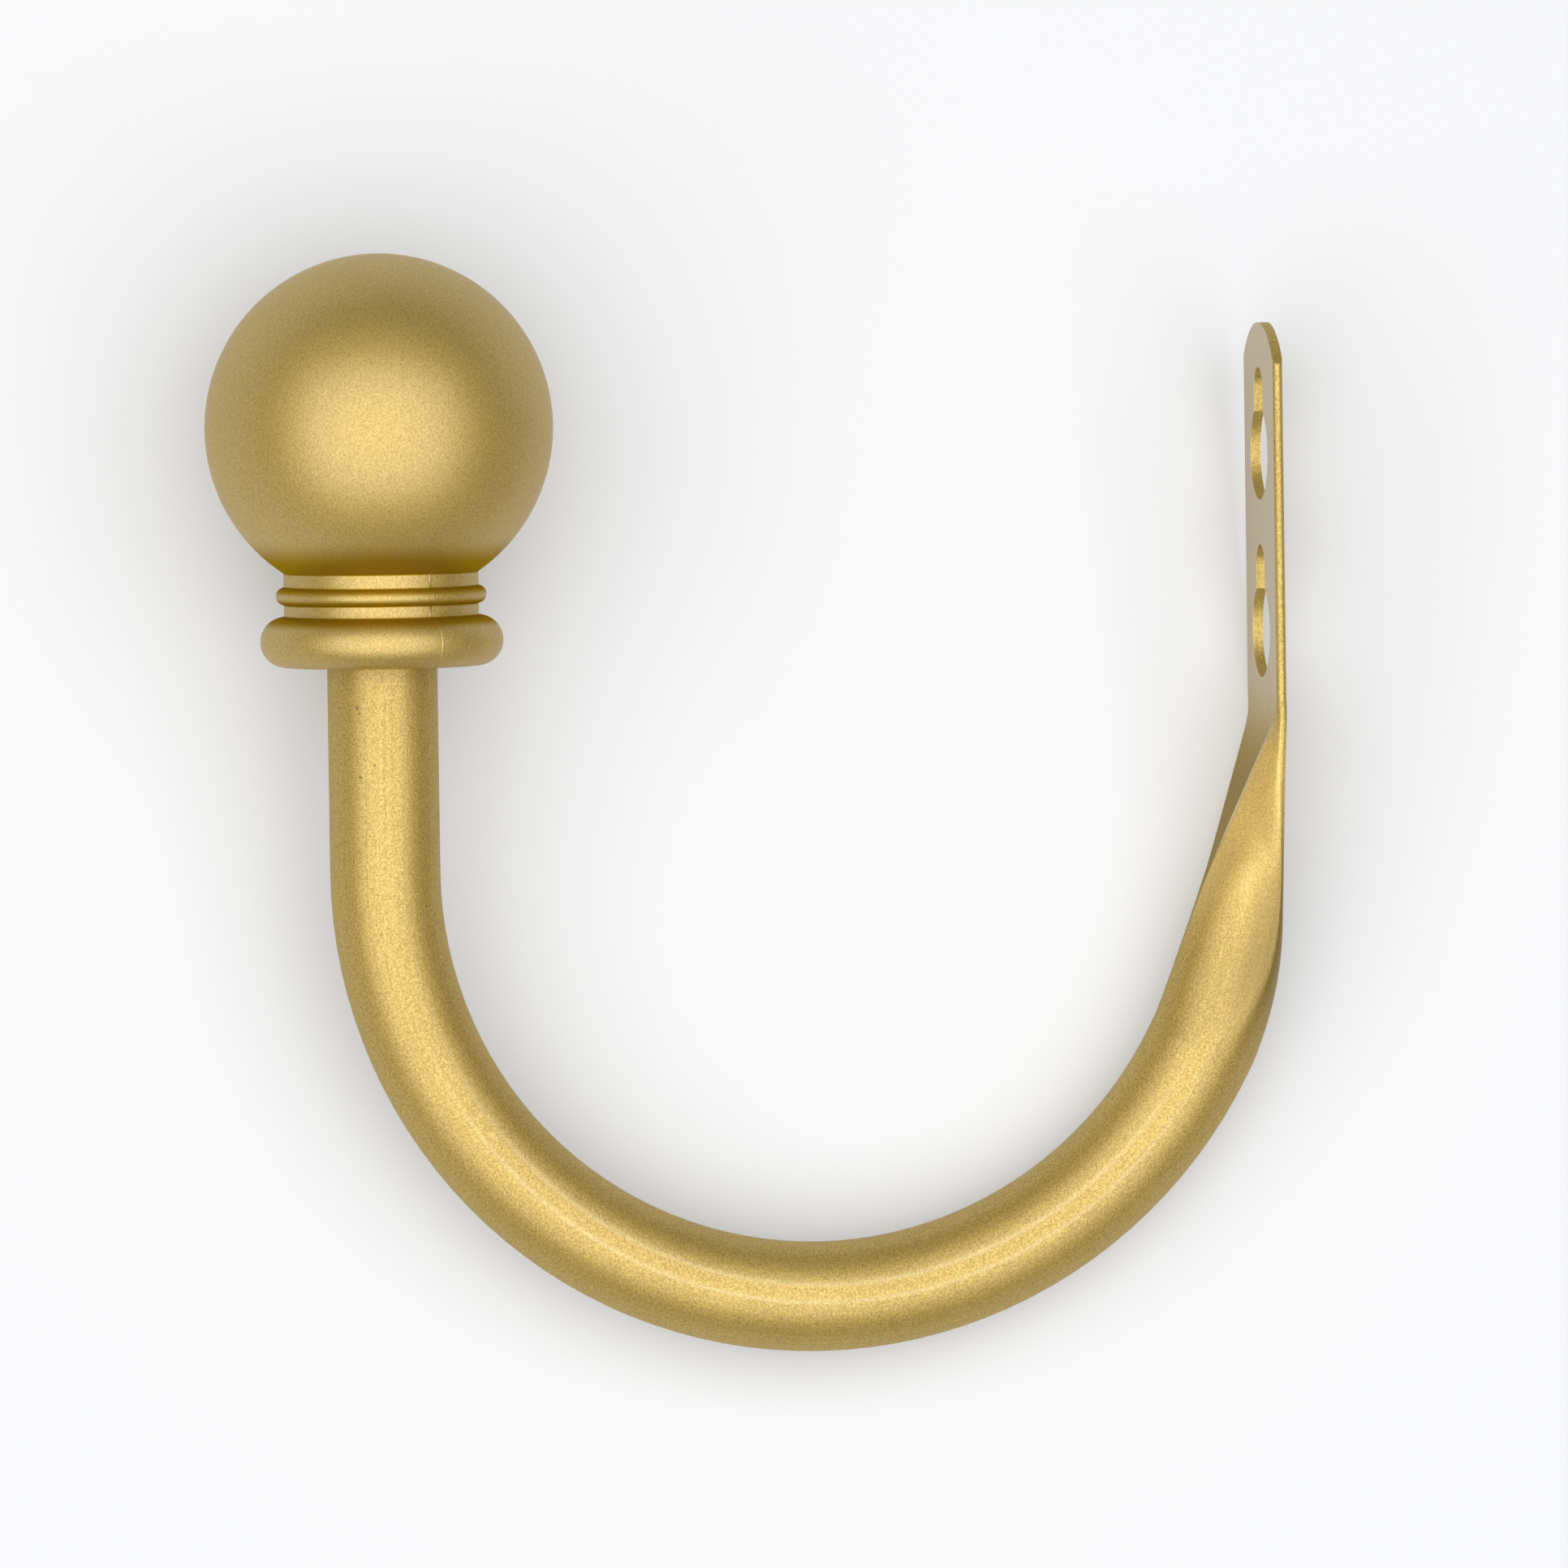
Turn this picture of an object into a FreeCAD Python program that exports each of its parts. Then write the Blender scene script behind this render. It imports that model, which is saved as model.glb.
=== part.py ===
"""Curtain holdback: a bent tube, pressed flat at the wall end, with a ball finial on its free end.

Millimetres. The wall is the plane Y = 0 and the part stands out from it towards -Y.
+Z is up, X runs along the wall, and the part is symmetric about X = 0.
The origin is on the wall, midway between the round entries of the two keyholes.
"""

import FreeCAD
import Part

import math
import os

Vec = FreeCAD.Vector
X_AXIS = Vec(1, 0, 0)
Y_AXIS = Vec(0, 1, 0)
Z_AXIS = Vec(0, 0, 1)

# Tube
tube_d = 10.7
tube_wall = 0.5
front_bend_r = 42.15  # centreline radius from the finial's leg to the bottom of the U
wall_bend_r = 42.3  # centreline radius from the bottom of the U up to the pressed neck
wall_lap = 2.15  # how far the round tube would pass the wall plane without the press
leg_length = 20.05  # straight tube between the finial's base and the bend

# Pressed strap and its keyholes
strap_length = 38.15  # from the crease above the neck to the tip
tip_rise = 3.9  # height of the rounded tip above its shoulders
tip_margin = 4.35  # metal between the tip and the upper keyhole
keyhole_pitch = 17.3
entry_d = 9.2  # round entry that passes a screw's head
slot_width = 4.6  # narrow slot that holds a screw's shank
slot_rise = 8.35  # from the entry's centre to the closed end of the slot

# Neck between the round tube and the strap
neck_drop = 13.6  # from the crease down to the level of the wall bend's centre
press_angle = math.radians(27)  # where the press begins on the wall bend, below its centre's level
void_end = 0.95  # share of the neck's length where the hollow has closed to a slit
neck_stations = 12
facet_start = 0.45  # share of the neck's length where the facet on the curtain side opens out
facet_ease = 0.15  # how gently it opens
ridge_angle = math.radians(52)  # steepest turn from the facet to the rounded side
corner_limit = 0.5  # least width of a rounded corner, as a part of the half thickness
ridge_limit = 0.8  # most of the depth beside the facet that this turn may take up
belly = 0.85  # how far back the widest line lies half-way up, as a part of the half thickness
waist = 0.5  # how much narrower each side is there than an even pressing would leave it
crease_r = 8.0  # bend on the curtain side, between the facet and the strap
crease_stations = 3
seam_angle = math.radians(0.6)  # half of the narrow arc from which each flat opens out

# Finial
ball_d = 33.8
band_d = 18.9
upper_band_h = 1.35
small_bead_h = 1.7
lower_band_h = 1.15
large_bead_h = 4.9
large_bead_out = 2.35  # how far the beads stand out from the bands
small_bead_out = 0.77
socket_depth = 14.0
socket_clearance = 0.1  # glue line round the tube
end_clearance = 0.2  # glue line over the tube's end
mouth_chamfer = 0.3


def pressed_flat(thickness):
    """Width of each flat when the round tube is pressed to this thickness, its girth unchanged."""
    return math.pi / 2 * (tube_d - thickness)


# Derived sizes
tube_r = tube_d / 2
strap_thickness = 2 * tube_wall
strap_width = pressed_flat(strap_thickness) + strap_thickness
tip_z = keyhole_pitch / 2 + slot_rise + tip_margin
crease_z = tip_z - strap_length
bend_y = wall_lap - wall_bend_r - tube_r  # both bend centres lie above the bottom of the U
wall_bend_z = crease_z - neck_drop
bottom_z = wall_bend_z - wall_bend_r
front_bend_z = bottom_z + front_bend_r
finial_y = bend_y - front_bend_r
finial_z = front_bend_z + leg_length


def on_bend(radius, angle):
    """Point on a circle about the wall bend's centre, the angle in radians below level."""
    return Vec(0, bend_y + radius * math.cos(angle), wall_bend_z - radius * math.sin(angle))


def facet_angle():
    """Where the line down from the front crease touches the inner side of the wall bend."""
    along = -strap_thickness - bend_y
    above = crease_z - wall_bend_z
    return math.acos((wall_bend_r - tube_r) / math.hypot(along, above)) - math.atan2(above, along)


def neck_lengths():
    """Lengths of the neck's curtain side: round the bend, straight up the facet and round the crease."""
    angle = facet_angle()
    inner_r = wall_bend_r - tube_r
    facet = Vec(0, -strap_thickness, crease_z) - on_bend(inner_r, angle)
    return inner_r * (press_angle - angle), facet.Length - crease_r * math.tan(angle / 2), crease_r * angle


def neck_front(share):
    """Point on the curtain side of the neck, from the round tube to the strap."""
    angle = facet_angle()
    bent, straight, crease = neck_lengths()
    along = share * (bent + straight + crease) - bent
    inner_r = wall_bend_r - tube_r
    if along < 0:
        return on_bend(inner_r, angle - along / inner_r)
    start = on_bend(inner_r, angle)
    rise = min(along, straight)
    lean = min(angle, angle - (along - straight) / crease_r)
    y = start.y + rise * math.sin(angle) + crease_r * (math.cos(lean) - math.cos(angle))
    z = start.z + rise * math.cos(angle) + crease_r * (math.sin(angle) - math.sin(lean))
    return Vec(0, y, z)


def ring(outer_r, inner_r, centre, normal):
    """Flat annulus."""
    outer = Part.Face(Part.Wire(Part.makeCircle(outer_r, centre, normal)))
    inner = Part.Face(Part.Wire(Part.makeCircle(inner_r, centre, normal)))
    return outer.cut(inner).Faces[0]


def round_tube():
    """The straight leg and the two bends, hollow, as far as the neck."""
    leg_top = Vec(0, finial_y, finial_z + socket_depth - end_clearance)
    leg_end = Vec(0, finial_y, front_bend_z)
    bore_r = tube_r - tube_wall
    leg = ring(tube_r, bore_r, leg_end, Z_AXIS).extrude(leg_top - leg_end)
    front_centre = Vec(0, bend_y, front_bend_z)
    front_bend = ring(tube_r, bore_r, leg_end, Z_AXIS).revolve(front_centre, X_AXIS, 90)
    bottom = Vec(0, bend_y, bottom_z)
    wall_centre = Vec(0, bend_y, wall_bend_z)
    swept = 90 - math.degrees(press_angle)
    wall_bend = ring(tube_r, bore_r, bottom, Y_AXIS).revolve(wall_centre, X_AXIS, swept)
    return [leg, front_bend, wall_bend]


def back_line(z, start):
    """Y of the neck's wall side: an arc from the start point, tangent to the tube there and to the wall."""
    radius = -start.y / (1 - math.cos(press_angle))
    level = start.z + radius * math.sin(press_angle)
    if z >= level:
        return 0.0
    return math.sqrt(radius**2 - (level - z) ** 2) - radius


def conic(start, corner, end, weight):
    """Arc of a conic between two points, tangent to the lines that meet at the corner."""
    curve = Part.BSplineCurve()
    curve.buildFromPolesMultsKnots([start, corner, end], [3, 3], [0, 1], False, 2, [1, weight, 1])
    return curve.toShape()


def facet_growth(share):
    """Width of the facet as a part of its full width: little as far as its start, then in proportion."""

    def eased(at):
        opened = (at - facet_start) / (1 - facet_start)
        return opened + math.hypot(opened, facet_ease)

    return eased(share) / eased(1)


def ridge_turn(share):
    """Angle between the facet and the rounded side beside it: none at either end of the facet."""
    opened = max(0, (share - facet_start) / (1 - facet_start))
    return ridge_angle * math.sin(math.pi * opened)


def neck_section(share, inset):
    """Closed section of the neck, with its two flats and four rounded corners, moved inwards by inset."""
    back_0 = on_bend(wall_bend_r + tube_r, press_angle)
    front = neck_front(share)
    back_z = back_0.z + (neck_front(1).z - back_0.z) * share
    back = Vec(0, back_line(back_z, back_0), back_z)
    thickness = (front - back).Length
    flat = pressed_flat(thickness)
    half_up = math.sin(math.pi * share)
    half_width = (flat + thickness) / 2 - inset - waist * half_up
    half_depth = thickness / 2 - inset
    widest_depth = -belly * half_up * half_depth
    flat_limit = half_width - corner_limit * half_depth
    facet = min(flat / 2, pressed_flat(strap_thickness) / 2 * facet_growth(share))
    half_front = min(flat_limit, facet - inset * math.tan(ridge_turn(share) / 2))
    half_back = min(flat_limit, flat - facet)
    turn = 0
    if share == 0:
        turn = seam_angle
        half_front = half_depth * math.sin(turn)
        half_back = half_front
    middle = (front + back) / 2
    forward = (front - back) / thickness

    def at(across, depth):
        return middle + X_AXIS * across + forward * depth

    edges = []
    for facing, half_flat, ridge in ((-1, half_back, 0), (1, half_front, ridge_turn(share))):
        rim = facing * half_depth * math.cos(turn)
        lean = math.atan(ridge_limit * abs(rim - widest_depth) / (half_width - half_flat))
        lean = min(turn + ridge, lean)
        corner = rim - facing * (half_width - half_flat) * math.tan(lean)
        peak = facing * half_depth / math.cos(turn)
        weight = math.cos((math.pi / 2 - lean) / 2)
        for side in (-half_width, half_width):
            flat_end = at(math.copysign(half_flat, side), rim)
            edges.append(conic(flat_end, at(side, corner), at(side, widest_depth), weight))
        edges.append(conic(at(half_flat, rim), at(0, peak), at(-half_flat, rim), math.cos(turn)))
    return Part.Wire(Part.__sortEdges__(edges))


def neck():
    """The pressed length between the round tube and the strap, hollow until its walls meet."""
    bent, straight, crease = neck_lengths()
    bend = (bent + straight) / (bent + straight + crease)
    shares = [bend * k / neck_stations for k in range(neck_stations)]
    shares += [bend + (1 - bend) * k / crease_stations for k in range(crease_stations + 1)]
    skin = Part.makeLoft([neck_section(share, 0) for share in shares], True, False)
    hollow = Part.makeLoft([neck_section(share * void_end, tube_wall) for share in shares], True, False)
    return skin.cut(hollow)


def stadium(width, thickness, z):
    """Level section of the strap against the wall: two flats and two folded, half-round edges."""
    half_flat = (width - thickness) / 2
    right = Part.Arc(
        Vec(half_flat, 0, z), Vec(width / 2, -thickness / 2, z), Vec(half_flat, -thickness, z)
    )
    left = Part.Arc(
        Vec(-half_flat, -thickness, z), Vec(-width / 2, -thickness / 2, z), Vec(-half_flat, 0, z)
    )
    front = Part.LineSegment(Vec(half_flat, -thickness, z), Vec(-half_flat, -thickness, z))
    back = Part.LineSegment(Vec(-half_flat, 0, z), Vec(half_flat, 0, z))
    return Part.Face(Part.Wire([edge.toShape() for edge in (right, front, left, back)]))


def through_strap(outline):
    """Tool that passes through the strap, with this outline in the wall plane."""
    face = Part.Face(Part.Wire(outline))
    face.translate(Y_AXIS * strap_thickness)
    return face.extrude(Y_AXIS * -3 * strap_thickness)


def tip_tool():
    """Everything of the strap below its rounded tip."""
    half = strap_width / 2
    shoulder = tip_z - tip_rise
    tip = Part.Arc(Vec(half, 0, shoulder), Vec(0, 0, tip_z), Vec(-half, 0, shoulder)).toShape()
    sides = Part.makePolygon(
        [Vec(-half, 0, shoulder), Vec(-half, 0, crease_z), Vec(half, 0, crease_z), Vec(half, 0, shoulder)]
    )
    return through_strap([tip] + sides.Edges)


def keyhole_tool(entry_z):
    """Round entry with the narrow slot above it."""
    entry = through_strap([Part.makeCircle(entry_d / 2, Vec(0, 0, entry_z), Y_AXIS)])
    half = slot_width / 2
    end_z = entry_z + slot_rise - half
    end = Part.Arc(Vec(half, 0, end_z), Vec(0, 0, end_z + half), Vec(-half, 0, end_z)).toShape()
    sides = Part.makePolygon(
        [Vec(-half, 0, end_z), Vec(-half, 0, entry_z), Vec(half, 0, entry_z), Vec(half, 0, end_z)]
    )
    return entry.fuse(through_strap([end] + sides.Edges))


def strap():
    """The flat wall strap with its two keyholes."""
    strap_z = neck_front(1).z
    flat = stadium(strap_width, strap_thickness, strap_z).extrude(Z_AXIS * (tip_z - strap_z))
    flat = flat.common(tip_tool())
    for entry_z in (-keyhole_pitch / 2, keyhole_pitch / 2):
        flat = flat.cut(keyhole_tool(entry_z))
    return flat


def bent_tube():
    """One piece of tube: leg, two bends, pressed neck and strap."""
    leg, *rest = round_tube()
    return leg.multiFuse(rest + [neck(), strap()]).removeSplitter()


def bead(base_z, height, out):
    """Start, crown and end of the arc of a bead that stands out from the bands."""
    low = Vec(band_d / 2, 0, base_z)
    crown = Vec(band_d / 2 + out, 0, base_z + height / 2)
    high = Vec(band_d / 2, 0, base_z + height)
    return low, crown, high


def ball_finial():
    """Ball, bands and beads in one moulding, with a blind socket for the tube."""
    socket_r = tube_r + socket_clearance
    small_bead_z = large_bead_h + lower_band_h
    ball_base_z = small_bead_z + small_bead_h + upper_band_h
    ball_r = ball_d / 2
    ball_z = ball_base_z + math.sqrt(ball_r**2 - (band_d / 2) ** 2)
    large = bead(0, large_bead_h, large_bead_out)
    small = bead(small_bead_z, small_bead_h, small_bead_out)
    ball = (Vec(band_d / 2, 0, ball_base_z), Vec(ball_r, 0, ball_z), Vec(0, 0, ball_z + ball_r))
    socket = [
        ball[-1],
        Vec(0, 0, socket_depth),
        Vec(socket_r, 0, socket_depth),
        Vec(socket_r, 0, mouth_chamfer),
        Vec(socket_r + mouth_chamfer, 0, 0),
        large[0],
    ]
    edges = Part.makePolygon(socket).Edges
    for arc, next_arc in ((large, small), (small, ball)):
        edges.append(Part.Arc(*arc).toShape())
        edges.append(Part.makeLine(arc[-1], next_arc[0]))
    edges.append(Part.Arc(*ball).toShape())
    profile = Part.Face(Part.Wire(Part.__sortEdges__(edges)))
    finial = profile.revolve(Vec(0, 0, 0), Z_AXIS, 360)
    finial.translate(Vec(0, finial_y, finial_z))
    return finial


def main():
    os.makedirs("parts", exist_ok=True)
    pieces = {"bent_tube": bent_tube(), "ball_finial": ball_finial()}
    for name, shape in pieces.items():
        shape.exportStep(f"parts/{name}.step")


main()
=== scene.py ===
"""Looks of the curtain holdback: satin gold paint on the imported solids, on a pale table under soft light."""

import math

import bmesh
import bpy
from mathutils import Matrix, Vector


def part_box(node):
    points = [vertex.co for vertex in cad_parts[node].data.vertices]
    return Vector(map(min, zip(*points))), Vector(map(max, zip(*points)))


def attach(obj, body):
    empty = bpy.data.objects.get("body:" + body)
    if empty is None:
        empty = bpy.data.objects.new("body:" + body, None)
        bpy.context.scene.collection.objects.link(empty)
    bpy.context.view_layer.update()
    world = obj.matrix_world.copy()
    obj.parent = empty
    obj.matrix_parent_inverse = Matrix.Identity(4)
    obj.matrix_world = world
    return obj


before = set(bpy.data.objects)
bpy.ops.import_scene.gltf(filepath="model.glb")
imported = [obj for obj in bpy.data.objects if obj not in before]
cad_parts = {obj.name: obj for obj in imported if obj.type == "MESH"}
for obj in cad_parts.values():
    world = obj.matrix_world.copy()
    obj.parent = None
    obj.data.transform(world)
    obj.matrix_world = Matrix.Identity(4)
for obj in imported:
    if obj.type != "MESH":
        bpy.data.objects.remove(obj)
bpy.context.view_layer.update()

# Sizes of the tube and the finial, in metres
MM = 0.001
TUBE_R = 5.35 * MM
FRONT_BEND_R = 42.15 * MM
WALL_BEND_R = 42.3 * MM
BALL_R = 16.9 * MM
BAND_R = 9.45 * MM

tube_low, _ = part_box("bent_tube")
finial_low, finial_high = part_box("ball_finial")
leg_y = tube_low.y + TUBE_R
bend_y = leg_y + FRONT_BEND_R
bottom_z = tube_low.z + TUBE_R
front_bend_z = bottom_z + FRONT_BEND_R
wall_bend_z = bottom_z + WALL_BEND_R
ball_centre = Vector((0, leg_y, finial_high.z - BALL_R))

# Camera: the photograph's frame and viewing angle
VIEW_TURN = math.radians(9.2)  # from the part's side towards the curtain
VIEW_RISE = math.radians(2.34)
VIEW_ROLL = math.radians(-0.8)
VIEW_TARGET = Vector((0, -48.36 * MM, -22.74 * MM))
VIEW_DISTANCE = 2.3
FRAME_WIDTH = 152.46 * MM  # seen at the target

# Table and light
TABLE_NORMAL = Vector((0.9936, -0.0719, 0.0870)).normalized()  # the part lies on ball, bend and strap edge
TABLE_SIZE = 1.2
TABLE_WHITE = (0.56, 0.565, 0.575, 1)
TABLE_GLOW = 0.16  # lifts the table to the photograph's white where it is seen
STUDIO_GREY = (0.125, 0.125, 0.125, 1)
SOFTBOX_WIDTH = 6.7
SOFTBOX_HEIGHT = 5.05
SOFTBOX_DISTANCE = 2.6
SOFTBOX_DROP = 0.12  # below the camera
SOFTBOX_POWER = 224

# Paint
GOLD_LIGHT = (0.668, 0.49, 0.150, 1)
GOLD_DEEP = (0.424, 0.298, 0.062, 1)
WALL_SIDE_SHADE = (0.25, 0.17, 0.037, 1)  # painted shade on the wall side of the neck
SIDE_HIGHLIGHT = (0.24, 0.18, 0.075, 1)  # painted highlight, added beside the facet
GROOVE_SHADE = (0.42, 0.27, 0.02, 1)  # painted shade in the finial's grooves and under the ball
RIDGE_AND_MARK_SHEEN = (0.78, 0.70, 0.52, 1)  # painted highlight on the ridges, and painted sheen on the bending lines
SPECK = (0.10, 0.065, 0.02, 1)
FACET_SHADE = (0.24, 0.16, 0.07, 1)  # painted shade on the facet
STRAP_SHEEN = (0.60, 0.54, 0.50, 1)  # painted sheen on the strap's face
TUBE_EDGE = (0.40, 0.36, 0.24, 1)
FINIAL_EDGE = (0.42, 0.35, 0.12, 1)
PAINT_METALLIC = 1.0
PAINT_ROUGHNESS = 0.60
FINIAL_COAT = 0.7
TUBE_COAT = 0.45
COAT_IOR = 1.65
COAT_ROUGHNESS = 0.35

# Texture of the paint: noise cells a millimetre, strength in the colour, and height in millimetres
BROAD_SCALE, BROAD_SHARE = 0.08, 0.3
GRAIN_SCALE, GRAIN_SHARE, GRAIN_HEIGHT = 5.0, 1.7, 0.012
FLAKE_SCALE, FLAKE_SHARE, FLAKE_HEIGHT = 6.0, 1.4, 0.006
PEEL_SCALE, PEEL_HEIGHT = 0.55, 0.018
GRAIN_ROUGHNESS = 0.15
FINIAL_CONTRAST = 0.8
TUBE_CONTRAST = 1.2

# Marks on the tube: streaks from drawing it, lines from bending it that carry a painted sheen, and how
# strongly each shows
DRAWN_ROUND, DRAWN_ALONG = 2.2, 0.02  # streaks a millimetre
DRAWN_SHARE, DRAWN_HEIGHT, DRAWN_ROUGHNESS = 0.25, 0.012, 0.10
MARK_DEPTHS = (0.3, -1.45)  # outwards from the tube's centreline, in millimetres
MARK_WIDTH = 0.25
MARK_SHARE, MARK_HEIGHT, MARK_POLISH = 0.16, 0.004, 0.04
BEND_DROP = (10.0, 32.0)  # below the bends' centres, where the marks come in
SPECK_SHARE, SPECK_DEPTH = 0.85, 0.03
RIDGE_SHARE = 0.8
WALL_SHADE_SHARE = 0.8
FACET_SHADE_SHARE = 0.55
STRAP_SHEEN_SHARE = 0.35
FACET_DULL = 0.5  # share of the coat that the facet lacks

# Facet on the neck, the painted light and shade round it and the strap's face above it, in millimetres
FACET_FOOT_Y = -10.88
FACET_FOOT_Z = -43.30
FACET_RISE = 27.83
FACET_SLOPE = 0.3727
FACET_HALF_WIDTH = 7.62
FACET_START = 0.37  # share of the rise from which the facet opens
FACET_EASE = 0.15
NECK_FRONT_Y = -20.0
STRAP_FACE_Y = -0.95
STRAP_FOOT_Z = -16.5
STRAP_FADE = 4.0
FACET_REACH = 0.25  # how near the facet's plane its marks lie
RIDGE_WIDTH = 0.16
RIDGE_SOFT = 0.3  # from a ridge to the full painted highlight of the side
SIDE_FRONT = (2.5, 6.5)  # behind the facet, where the painted highlight ends
SIDE_BACK = (3.8, 5.2)  # outwards from the centreline, where it ends towards the wall
SIDE_WALL = (3.0, 8.0)  # behind the facet, where the painted shade begins

# Shares of the facet's opening between which each painted highlight or shade on the neck comes in or fades out
RIDGE_IN, RIDGE_OUT = (0.1, 0.3), (0.75, 0.95)
FACET_OUT = (0.5, 1.05)
SIDE_HIGHLIGHT_IN, SIDE_HIGHLIGHT_OUT = (-0.45, 0.2), (0.7, 1.0)
WALL_SHADE_IN, WALL_SHADE_OUT = (-1.1, -0.4), (0.4, 0.9)

# Heights on the finial above its base, in millimetres, where shade is painted into the grooves
LARGE_BEAD_TOP = 4.9
SMALL_BEAD_FOOT = 6.05
SMALL_BEAD_TOP = 7.75
BALL_FOOT = 9.1
CREEP = 0.08  # how far the painted shade reaches past a groove's corner
BALL_SHADE_REACH = (0.9, 3.7)  # above or below each height, where the painted shade fades out
LARGE_BEAD_SHADE_REACH = (-1.2, -0.4)
SMALL_TOP_SHADE_REACH = (-0.9, -0.3)
SMALL_FOOT_SHADE_REACH = (0.25, 0.75)

# Dark specks on the leg: place in millimetres, and size
SPECKS = (
    (4.31, -90.83, -14.4, 0.16),
    (4.35, -90.65, -14.9, 0.12),
    (5.09, -89.28, -19.9, 0.10),
    (4.40, -90.60, -21.1, 0.13),
)

# Mould's parting line on the finial
PARTING_TURN = math.radians(22)  # from the part's side towards the wall
PARTING_WIDTH = 0.36 * MM
PARTING_HEIGHT = 0.035 * MM
PARTING_SINK = 0.02 * MM
PARTING_DEPTH = 0.25 * MM
PARTING_TOP = 12.5 * MM  # above the finial's base, where it fades out on the ball
PARTING_FADE = 4 * MM
WELD = 0.001 * MM
INSIDE = 0.1 * MM  # faces further in than the bands by this are the finial's inside


class Field:
    """A number that varies over a surface: arithmetic on it adds Math nodes."""

    def __init__(self, nodes, socket):
        self.nodes = nodes
        self.socket = socket

    def math(self, operation, *others):
        sockets = dict(enumerate((self, *others)))
        return self.nodes.field("ShaderNodeMath", 0, {"operation": operation}, sockets)

    def __add__(self, other):
        return self.math("ADD", other)

    __radd__ = __add__

    def __sub__(self, other):
        return self.math("SUBTRACT", other)

    def __rsub__(self, other):
        return self * -1 + other

    def __mul__(self, other):
        return self.math("MULTIPLY", other)

    __rmul__ = __mul__

    def __truediv__(self, other):
        return self.math("DIVIDE", other)

    def __rtruediv__(self, other):
        return self.math("POWER", -1) * other

    def __gt__(self, other):
        return self.math("GREATER_THAN", other)

    def __lt__(self, other):
        return self.math("LESS_THAN", other)


class Nodes:
    """The node tree of one material or of the world."""

    def __init__(self, owner):
        owner.use_nodes = True
        self.tree = owner.node_tree
        self.tree.nodes.clear()

    def add(self, kind, settings=None, sockets=None):
        node = self.tree.nodes.new(kind)
        for name, value in (settings or {}).items():
            setattr(node, name, value)
        for key, value in (sockets or {}).items():
            value = getattr(value, "socket", value)
            if isinstance(value, bpy.types.NodeSocket):
                self.tree.links.new(value, node.inputs[key])
            else:
                node.inputs[key].default_value = value
        return node

    def field(self, kind, output, settings=None, sockets=None):
        return Field(self, self.add(kind, settings, sockets).outputs[output])

    def ramp(self, value, low, high):
        """Smooth rise from 0 to 1 as the value goes from low to high."""
        sockets = {"Value": value, "From Min": low, "From Max": high}
        return self.field("ShaderNodeMapRange", "Result", {"interpolation_type": "SMOOTHSTEP"}, sockets)

    def ramp_at(self, value, level, reach):
        """The same rise, between two heights measured from a level."""
        low, high = reach
        return self.ramp(value, level + low, level + high)

    def blend(self, factor, first, second, mode="MIX"):
        """Colour between two others."""
        settings = {"data_type": "RGBA", "blend_type": mode}
        node = self.add("ShaderNodeMix", settings, {"Factor": factor, 6: first, 7: second})
        return node.outputs[2]

    def noise(self, vector, scale, detail=2.0, roughness=0.5):
        sockets = {"Vector": vector, "Scale": scale, "Detail": detail, "Roughness": roughness}
        return self.field("ShaderNodeTexNoise", 0, None, sockets)

    def place(self):
        """Point on the piece, in millimetres."""
        coordinates = self.add("ShaderNodeTexCoord").outputs["Object"]
        sockets = {"Vector": coordinates, "Scale": 1 / MM}
        return self.add("ShaderNodeVectorMath", {"operation": "SCALE"}, sockets).outputs["Vector"]

    def parts(self, vector):
        """The three numbers of a vector."""
        split = self.add("ShaderNodeSeparateXYZ", None, {"Vector": vector})
        return [Field(self, socket) for socket in split.outputs]

    def seen(self):
        """1 where the camera looks, straight or by way of a reflection, and 0 for other light."""
        path = self.add("ShaderNodeLightPath")
        rays = ("Is Camera Ray", "Is Glossy Ray", "Is Transmission Ray")
        camera, glossy, clear = (Field(self, path.outputs[ray]) for ray in rays)
        return (camera + glossy + clear).math("MINIMUM", 1.0)

    def vector(self, x, y, z):
        return self.add("ShaderNodeCombineXYZ", None, {"X": x, "Y": y, "Z": z}).outputs[0]


def tube_coordinates(nodes, place):
    """Distance outwards from the tube's centreline, lengths along and round it, and drop below the bends."""
    x, y, z = nodes.parts(place)
    out = bend_y / MM - y
    on_front = out > 0
    centre_z = wall_bend_z / MM + on_front * ((front_bend_z - wall_bend_z) / MM)
    radius = WALL_BEND_R / MM + on_front * ((FRONT_BEND_R - WALL_BEND_R) / MM)
    above = z - centre_z
    drop = above.math("MINIMUM", 0)
    depth = (out * out + drop * drop).math("SQRT") - radius
    sweep = drop.math("ARCTAN2", out) * radius
    along = sweep - above.math("MAXIMUM", 0)
    around = depth.math("ARCTAN2", x) * (TUBE_R / MM)
    return depth, along, around, drop


def line_at(depth, offset, width):
    """Narrow bell round one depth."""
    away = (depth - offset) / width
    return (away * away * -1).math("EXPONENT")


def gold_paint(name, contrast):
    """Satin paint full of fine metal flake: its nodes, place, colour, roughness and height."""
    material = bpy.data.materials.new(name)
    nodes = Nodes(material)
    place = nodes.place()
    broad = nodes.noise(place, BROAD_SCALE)
    grain = nodes.noise(place, GRAIN_SCALE, 1.0, 0.6)
    flake = nodes.noise(place, FLAKE_SCALE, 1.0)
    peel = nodes.noise(place, PEEL_SCALE, 1.0)
    fine = (grain - 0.5) * GRAIN_SHARE + (flake - 0.5) * FLAKE_SHARE
    shade = 0.5 + (broad - 0.5) * BROAD_SHARE + fine * contrast
    colour = nodes.blend(shade.math("MINIMUM", 1.0).math("MAXIMUM", 0.0), GOLD_DEEP, GOLD_LIGHT)
    roughness = PAINT_ROUGHNESS + (0.5 - grain) * GRAIN_ROUGHNESS
    height = grain * GRAIN_HEIGHT + peel * PEEL_HEIGHT + flake * FLAKE_HEIGHT
    return material, nodes, place, colour, roughness, height


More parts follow.
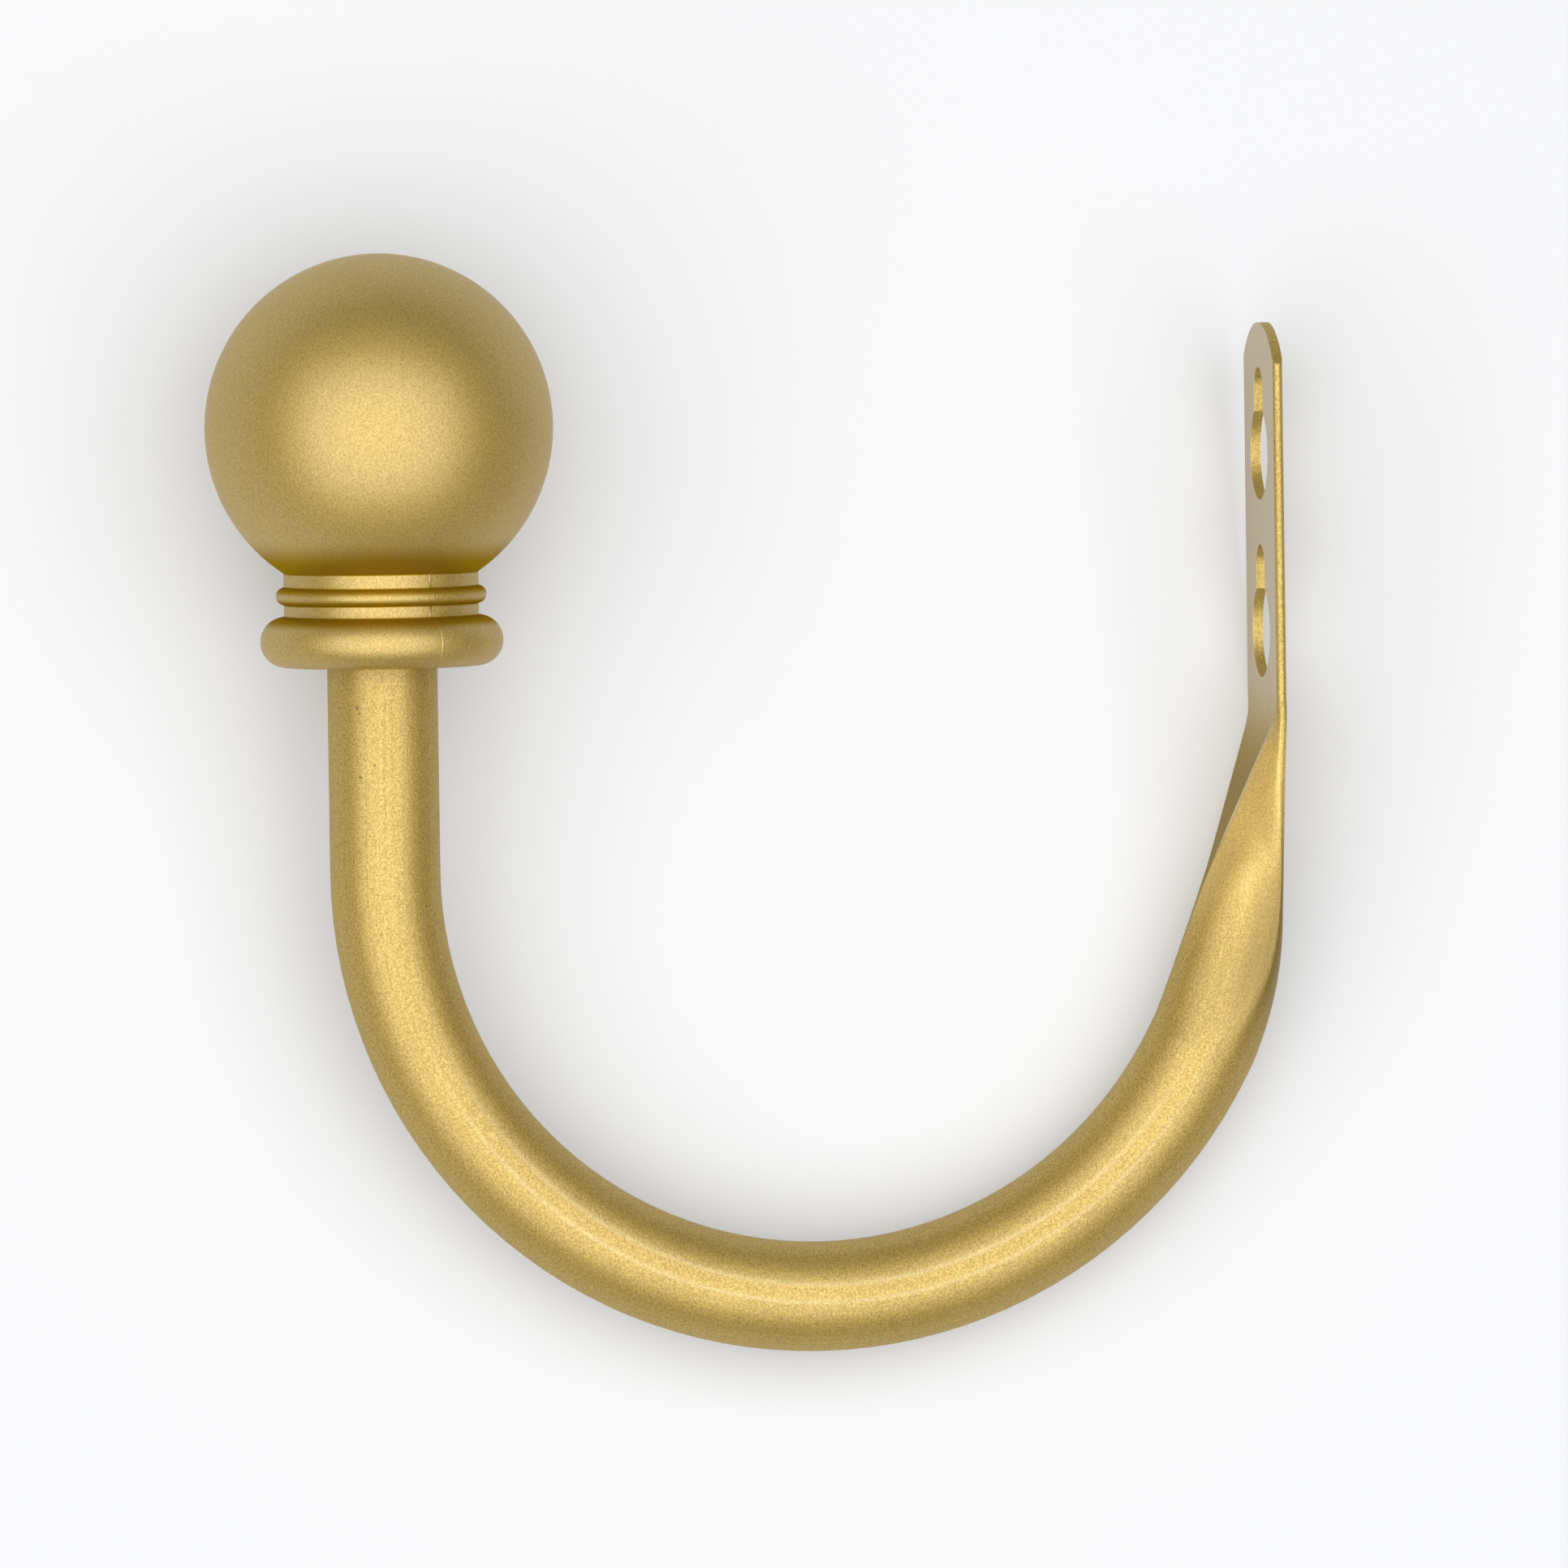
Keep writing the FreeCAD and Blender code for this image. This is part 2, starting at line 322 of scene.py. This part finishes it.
def shade_paint(nodes, colour, edge, roughness, coat, height):
    """The paint's shader: bright metal flake under a thin clear binder."""
    bump = nodes.add("ShaderNodeBump", None, {"Strength": 1.0, "Distance": MM, "Height": height})
    sockets = {
        "Base Color": colour,
        "Metallic": PAINT_METALLIC,
        "Roughness": roughness,
        "Specular Tint": edge,
        "Coat Weight": coat,
        "Coat Roughness": COAT_ROUGHNESS,
        "Coat IOR": COAT_IOR,
        "Normal": bump.outputs[0],
    }
    shader = nodes.add("ShaderNodeBsdfPrincipled", None, sockets)
    nodes.add("ShaderNodeOutputMaterial", None, {"Surface": shader.outputs[0]})


def finial_paint():
    """Paint on the moulded finial, evenly sprayed, with painted shade in the grooves and under the ball."""
    material, nodes, place, colour, roughness, height = gold_paint("finial_gold", FINIAL_CONTRAST)
    z = nodes.parts(place)[2] - finial_low.z / MM
    # painted shade in the grooves and under the ball, where less light reaches
    under_ball = (1 - nodes.ramp_at(z, BALL_FOOT, BALL_SHADE_REACH)) * (z > BALL_FOOT - CREEP)
    on_large_bead = nodes.ramp_at(z, LARGE_BEAD_TOP, LARGE_BEAD_SHADE_REACH) * (z < LARGE_BEAD_TOP + CREEP)
    bead_top = nodes.ramp_at(z, SMALL_BEAD_TOP, SMALL_TOP_SHADE_REACH) * (z < SMALL_BEAD_TOP + CREEP)
    bead_foot = (1 - nodes.ramp_at(z, SMALL_BEAD_FOOT, SMALL_FOOT_SHADE_REACH)) * (z > SMALL_BEAD_FOOT - CREEP)
    groove_shade = under_ball + on_large_bead + bead_top + bead_foot
    colour = nodes.blend(groove_shade.math("MINIMUM", 1.0), colour, GROOVE_SHADE)
    coat = (1 - groove_shade).math("MAXIMUM", 0.0) * FINIAL_COAT
    shade_paint(nodes, colour, FINIAL_EDGE, roughness, coat, height)
    return material


def specks(nodes, place):
    """The dark specks, 1 at each middle."""
    total = 0.0
    for *middle, size in SPECKS:
        away = nodes.add("ShaderNodeVectorMath", {"operation": "DISTANCE"}, {0: place, 1: middle})
        total = total + line_at(Field(nodes, away.outputs["Value"]), 0.0, size)
    return total


def facet_marks(nodes, place):
    """Masks of the neck: facet, painted highlight on the ridges and on the sides beside them, and painted
    shade on the wall side.
    """
    x, y, z = nodes.parts(place)
    rise = z - FACET_FOOT_Z
    opened = (rise / FACET_RISE - FACET_START) / (1 - FACET_START)
    eased = opened + (opened * opened + FACET_EASE**2).math("SQRT")
    half_width = eased * (FACET_HALF_WIDTH / (1 + math.hypot(1, FACET_EASE)))
    away = x.math("ABSOLUTE") - half_width
    behind = y - rise * FACET_SLOPE - FACET_FOOT_Y

    def between(start, end):
        return nodes.ramp(opened, *start) * (1 - nodes.ramp(opened, *end))

    on_front = line_at(behind, 0.0, FACET_REACH)
    on_neck = y > NECK_FRONT_Y
    # painted highlight along the ridges
    ridge = line_at(away, 0.0, RIDGE_WIDTH) * between(RIDGE_IN, RIDGE_OUT)
    facet = (away < 0) * (1 - nodes.ramp(opened, *FACET_OUT))
    # painted highlight on the sides just behind the ridges
    beside = nodes.ramp(away, 0.0, RIDGE_SOFT) * on_neck * (1 - nodes.ramp(behind, *SIDE_FRONT))
    side_highlight = beside * between(SIDE_HIGHLIGHT_IN, SIDE_HIGHLIGHT_OUT)
    # painted shade on the wall side of the neck
    wall_side_shade = on_neck * between(WALL_SHADE_IN, WALL_SHADE_OUT) * nodes.ramp(behind, *SIDE_WALL)
    return facet * on_front, ridge * on_front, side_highlight, wall_side_shade


def strap_face(nodes, place):
    """The strap's flat side towards the curtain, which gets a painted sheen and a full coat."""
    _, y, z = nodes.parts(place)
    front = (y > NECK_FRONT_Y) * (y < STRAP_FACE_Y)
    return front * nodes.ramp_at(z, STRAP_FOOT_Z, (-STRAP_FADE, STRAP_FADE))


def tube_paint():
    """Paint on the tube: coarser, over drawn metal with bending marks and a few pits, and with painted light
    and shade on the neck and strap.
    """
    material, nodes, place, colour, roughness, height = gold_paint("tube_gold", TUBE_CONTRAST)
    depth, along, around, drop = tube_coordinates(nodes, place)
    drawn = nodes.noise(nodes.vector(around * DRAWN_ROUND, along * DRAWN_ALONG, 0.0), 1.0)
    outer, inner = (line_at(depth, offset, MARK_WIDTH) for offset in MARK_DEPTHS)
    marks = (outer + inner) * nodes.ramp(drop * -1, *BEND_DROP)
    pits = specks(nodes, place).math("MINIMUM", 1.0)
    colour = nodes.blend(nodes.ramp(drawn, 0.45, 0.8) * DRAWN_SHARE, colour, GOLD_DEEP)
    facet, ridge, side_highlight, wall_side_shade = facet_marks(nodes, place)
    side_highlight = side_highlight * (1 - nodes.ramp(depth, *SIDE_BACK))
    face = strap_face(nodes, place)
    # painted shade on the wall side of the neck
    colour = nodes.blend(wall_side_shade * WALL_SHADE_SHARE, colour, WALL_SIDE_SHADE)
    # painted shade on the facet, for the darker surroundings it reflects
    colour = nodes.blend(facet * FACET_SHADE_SHARE, colour, FACET_SHADE)
    # painted sheen on the strap's face
    colour = nodes.blend(face * STRAP_SHEEN_SHARE, colour, STRAP_SHEEN)
    # painted highlight beside the ridges
    colour = nodes.blend(side_highlight, colour, SIDE_HIGHLIGHT, "ADD")
    # painted highlight on the ridges and painted sheen on the real bending lines
    colour = nodes.blend(ridge * RIDGE_SHARE + marks * MARK_SHARE, colour, RIDGE_AND_MARK_SHEEN)
    colour = nodes.blend(pits * SPECK_SHARE, colour, SPECK)
    roughness = roughness + (drawn - 0.5) * DRAWN_ROUGHNESS - marks * MARK_POLISH
    height = height + drawn * DRAWN_HEIGHT + marks * MARK_HEIGHT - pits * SPECK_DEPTH
    coat = TUBE_COAT - facet * (FACET_DULL * TUBE_COAT) + face * (1 - TUBE_COAT)
    shade_paint(nodes, colour, TUBE_EDGE, roughness, coat, height)
    return material


def parting_line(finial, material):
    """Fine ridge left by the mould, up both sides of the collar and on to the ball."""
    mesh = bmesh.new()
    mesh.from_mesh(finial.data)
    bmesh.ops.remove_doubles(mesh, verts=mesh.verts, dist=WELD)
    across = Vector((-math.sin(PARTING_TURN), math.cos(PARTING_TURN), 0))
    axis = Vector((0, leg_y, finial_low.z))
    for side, clear in ((0.5, {"clear_outer": True}), (-0.5, {"clear_inner": True}), (0, {})):
        bmesh.ops.bisect_plane(
            mesh,
            geom=mesh.verts[:] + mesh.edges[:] + mesh.faces[:],
            plane_co=axis + across * side * PARTING_WIDTH,
            plane_no=across,
            **clear,
        )
    top_z = finial_low.z + PARTING_TOP

    def off_the_collar(face):
        middle = face.calc_center_median() - axis
        return middle.xy.length < BAND_R - INSIDE or middle.z + axis.z > top_z

    spare = [face for face in mesh.faces if off_the_collar(face)]
    bmesh.ops.delete(mesh, geom=spare, context="FACES")
    mesh.normal_update()
    lifts = []
    for vert in mesh.verts:
        crest = abs((vert.co - axis).dot(across)) < PARTING_WIDTH / 10
        fade = min(1, (top_z - vert.co.z) / PARTING_FADE)
        lifts.append((vert, vert.normal * (PARTING_HEIGHT * fade if crest else -PARTING_SINK)))
    for vert, lift in lifts:
        vert.co += lift
    bmesh.ops.solidify(mesh, geom=mesh.verts[:] + mesh.edges[:] + mesh.faces[:], thickness=PARTING_DEPTH)
    bmesh.ops.recalc_face_normals(mesh, faces=mesh.faces)
    piece = new_object("parting_line", mesh, material)
    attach(piece, "root")


def new_object(name, mesh, material):
    """Object made from a bmesh, with one material."""
    data = bpy.data.meshes.new(name)
    mesh.to_mesh(data)
    mesh.free()
    data.materials.append(material)
    made = bpy.data.objects.new(name, data)
    bpy.context.scene.collection.objects.link(made)
    return made


def table_white():
    """Matt white that can be seen only from the part's side."""
    material = bpy.data.materials.new("table_white")
    nodes = Nodes(material)
    matt = nodes.add("ShaderNodeBsdfDiffuse", None, {"Color": TABLE_WHITE})
    glow = nodes.add("ShaderNodeEmission", None, {"Color": nodes.seen() * TABLE_GLOW, "Strength": 1.0})
    lit = nodes.add("ShaderNodeAddShader", None, {0: matt.outputs[0], 1: glow.outputs[0]})
    clear = nodes.add("ShaderNodeBsdfTransparent")
    behind = nodes.add("ShaderNodeNewGeometry").outputs["Backfacing"]
    mixed = nodes.add("ShaderNodeMixShader", None, {0: behind, 1: lit.outputs[0], 2: clear.outputs[0]})
    nodes.add("ShaderNodeOutputMaterial", None, {"Surface": mixed.outputs[0]})
    return material


def lay_table():
    """The table that the part lies on, under the ball."""
    mesh = bmesh.new()
    bmesh.ops.create_grid(mesh, x_segments=1, y_segments=1, size=TABLE_SIZE / 2)
    turned = TABLE_NORMAL.to_track_quat("Z", "Y").to_matrix().to_4x4()
    touch = ball_centre - TABLE_NORMAL * BALL_R
    bmesh.ops.transform(mesh, matrix=Matrix.Translation(touch) @ turned, verts=mesh.verts)
    new_object("table", mesh, table_white())


def set_world():
    """Even grey studio."""
    world = bpy.data.worlds.new("studio")
    bpy.context.scene.world = world
    nodes = Nodes(world)
    background = nodes.add("ShaderNodeBackground", None, {"Color": STUDIO_GREY, "Strength": 1.0})
    nodes.add("ShaderNodeOutputWorld", None, {"Surface": background.outputs[0]})


def facing(place, target, roll=0.0):
    """Matrix of a lamp or camera at a place, aimed at the target."""
    aim = (target - place).to_track_quat("-Z", "Y").to_matrix().to_4x4()
    return Matrix.Translation(place) @ aim @ Matrix.Rotation(roll, 4, "Z")


def camera_direction():
    flat = Vector((math.cos(VIEW_TURN), -math.sin(VIEW_TURN), 0)) * math.cos(VIEW_RISE)
    return flat + Vector((0, 0, math.sin(VIEW_RISE)))


def hang_softbox():
    """Large soft lamp behind the camera, wider than it is high."""
    lamp = bpy.data.lights.new("softbox", "AREA")
    lamp.shape = "RECTANGLE"
    lamp.size = SOFTBOX_WIDTH
    lamp.size_y = SOFTBOX_HEIGHT
    lamp.energy = SOFTBOX_POWER
    holder = bpy.data.objects.new("softbox", lamp)
    bpy.context.scene.collection.objects.link(holder)
    middle = VIEW_TARGET + camera_direction() * SOFTBOX_DISTANCE - Vector((0, 0, SOFTBOX_DROP))
    holder.matrix_world = facing(middle, VIEW_TARGET)
    holder.visible_camera = False


def set_camera():
    lens = bpy.data.cameras.new("camera")
    lens.sensor_width = 36
    lens.lens = lens.sensor_width * VIEW_DISTANCE / FRAME_WIDTH
    camera = bpy.data.objects.new("camera", lens)
    bpy.context.scene.collection.objects.link(camera)
    camera.matrix_world = facing(VIEW_TARGET + camera_direction() * VIEW_DISTANCE, VIEW_TARGET, VIEW_ROLL)
    bpy.context.scene.camera = camera


def dress(node, material):
    """Gives a solid its finish."""
    node.data.materials[0] = material


finial_gold = finial_paint()
dress(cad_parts["ball_finial"], finial_gold)
dress(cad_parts["bent_tube"], tube_paint())
parting_line(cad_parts["ball_finial"], finial_gold)
lay_table()
set_world()
hang_softbox()
set_camera()
bpy.context.scene.view_settings.view_transform = "Standard"
